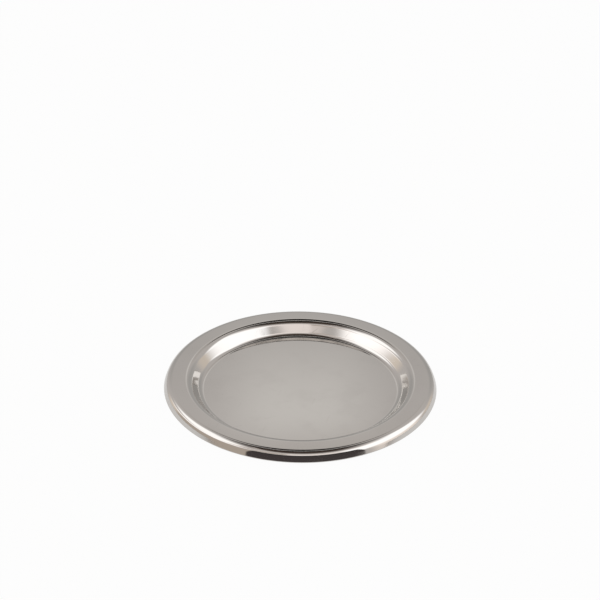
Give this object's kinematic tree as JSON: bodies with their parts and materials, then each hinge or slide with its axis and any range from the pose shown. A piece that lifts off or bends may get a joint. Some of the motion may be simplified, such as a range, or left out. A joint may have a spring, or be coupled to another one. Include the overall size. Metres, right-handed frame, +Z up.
{
  "type": "coin tray",
  "caption": "Round shallow tray of polished stainless sheet for handing over coins: flat floor, steep wall, flat rim and a short turned-down skirt.",
  "frame": {"origin": "centre of the underside of the floor, which the tray stands on", "axes": "+Z up, along the tray's axis; X and Y across the tray, which is round, so their turn about Z is free"},
  "size_m": [0.14, 0.14, 0.0073],
  "materials": {
    "polished_steel": "polished"
  },
  "bodies": {
    "root": {"pressed_tray": "polished_steel"}
  },
  "joints": []
}
